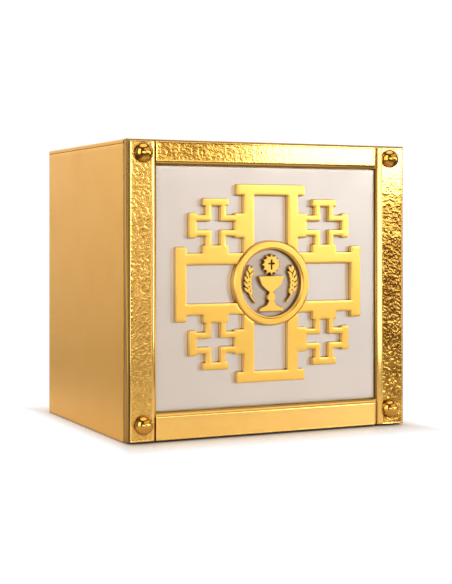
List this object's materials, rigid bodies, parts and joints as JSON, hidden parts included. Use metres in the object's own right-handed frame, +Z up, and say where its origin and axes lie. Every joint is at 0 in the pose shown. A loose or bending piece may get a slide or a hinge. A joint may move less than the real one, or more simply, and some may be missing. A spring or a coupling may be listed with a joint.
{
  "type": "tabernacle box",
  "caption": "Gilt brass tabernacle whose hinged front door carries hammered strips, a silver panel, an open-work cross and a chalice medallion; silk-lined, locked by a cam in its side.",
  "frame": {"origin": "centre of the underside of the bottom panel, midway between the front plane of the door plate and the back", "axes": "+Z up, the door faces -Y, +X to the viewer's right when facing the door"},
  "size_m": [0.347, 0.2607, 0.3],
  "materials": {
    "satin_gold": "satin brushed gilt",
    "angle_brass": "matt brass",
    "hammered_gold": "hammered gilt",
    "polished_gold": "mirror polished gilt",
    "bright_gold": "fine satin gilt",
    "satin_silver": "satin silver plate",
    "dark_silver": "satin oxidised silver",
    "screw_steel": "bright turned steel",
    "lock_steel": "nickel-plated satin",
    "batten_wood": "planed wood",
    "silk": "ivory silk"
  },
  "bodies": {
    "casing": {"top_panel": "satin_gold", "bottom_panel": "satin_gold", "left_side_panel": "satin_gold", "right_side_panel": "satin_gold", "back_panel": "satin_gold", "upper_left_angle": "angle_brass", "upper_right_angle": "angle_brass", "lower_left_angle": "angle_brass", "lower_right_angle": "angle_brass", "rear_left_angle": "angle_brass", "rear_right_angle": "angle_brass", "angle_screws": "screw_steel", "floor_battens": "batten_wood", "floor_lining": "silk", "ceiling_lining": "silk", "left_lining": "silk", "right_lining": "silk", "rear_lining": "silk", "upper_hinge_bracket": "angle_brass", "lower_hinge_bracket": "angle_brass", "hinge_pins": "screw_steel", "bracket_screws": "screw_steel", "lock_housing": "polished_gold", "lock_nut": "lock_steel"},
    "door": {"door_plate": "satin_gold", "left_strip": "hammered_gold", "right_strip": "hammered_gold", "top_strip": "hammered_gold", "bottom_strip": "hammered_gold", "dome_studs": "polished_gold", "strip_screws": "screw_steel", "silver_panel": "satin_silver", "door_board": "angle_brass", "board_screws": "screw_steel", "cross": "bright_gold", "cross_screws": "screw_steel", "medallion_ring": "bright_gold", "medallion_disc": "dark_silver", "chalice_emblem": "bright_gold", "host_emblem": "bright_gold", "wheat_sprays": "bright_gold", "medallion_screws": "screw_steel", "door_lining": "silk", "upper_hinge_arm": "angle_brass", "lower_hinge_arm": "angle_brass", "arm_screws": "screw_steel", "keeper_bracket": "lock_steel", "keeper_catch": "lock_steel", "keeper_screws": "screw_steel"},
    "lock_barrel": {"lock_plug": "lock_steel", "lock_cam": "lock_steel", "cam_screw": "screw_steel"},
    "key": {"key": "polished_gold"}
  },
  "joints": [
    {"name": "door_hinge", "type": "hinge", "parent": "casing", "child": "door", "pos_m": [-0.1519, -0.102, 0.15], "axis": [0, 0, -1], "range_deg": [0, 110]},
    {"name": "lock_turn", "type": "hinge", "parent": "casing", "child": "lock_barrel", "pos_m": [0.15, -0.074, 0.15], "axis": [-1, 0, 0], "range_deg": [0, 90]},
    {"name": "key_withdraw", "type": "slide", "parent": "lock_barrel", "child": "key", "axis": [1, 0, 0], "range_m": [0, 0.022]}
  ]
}
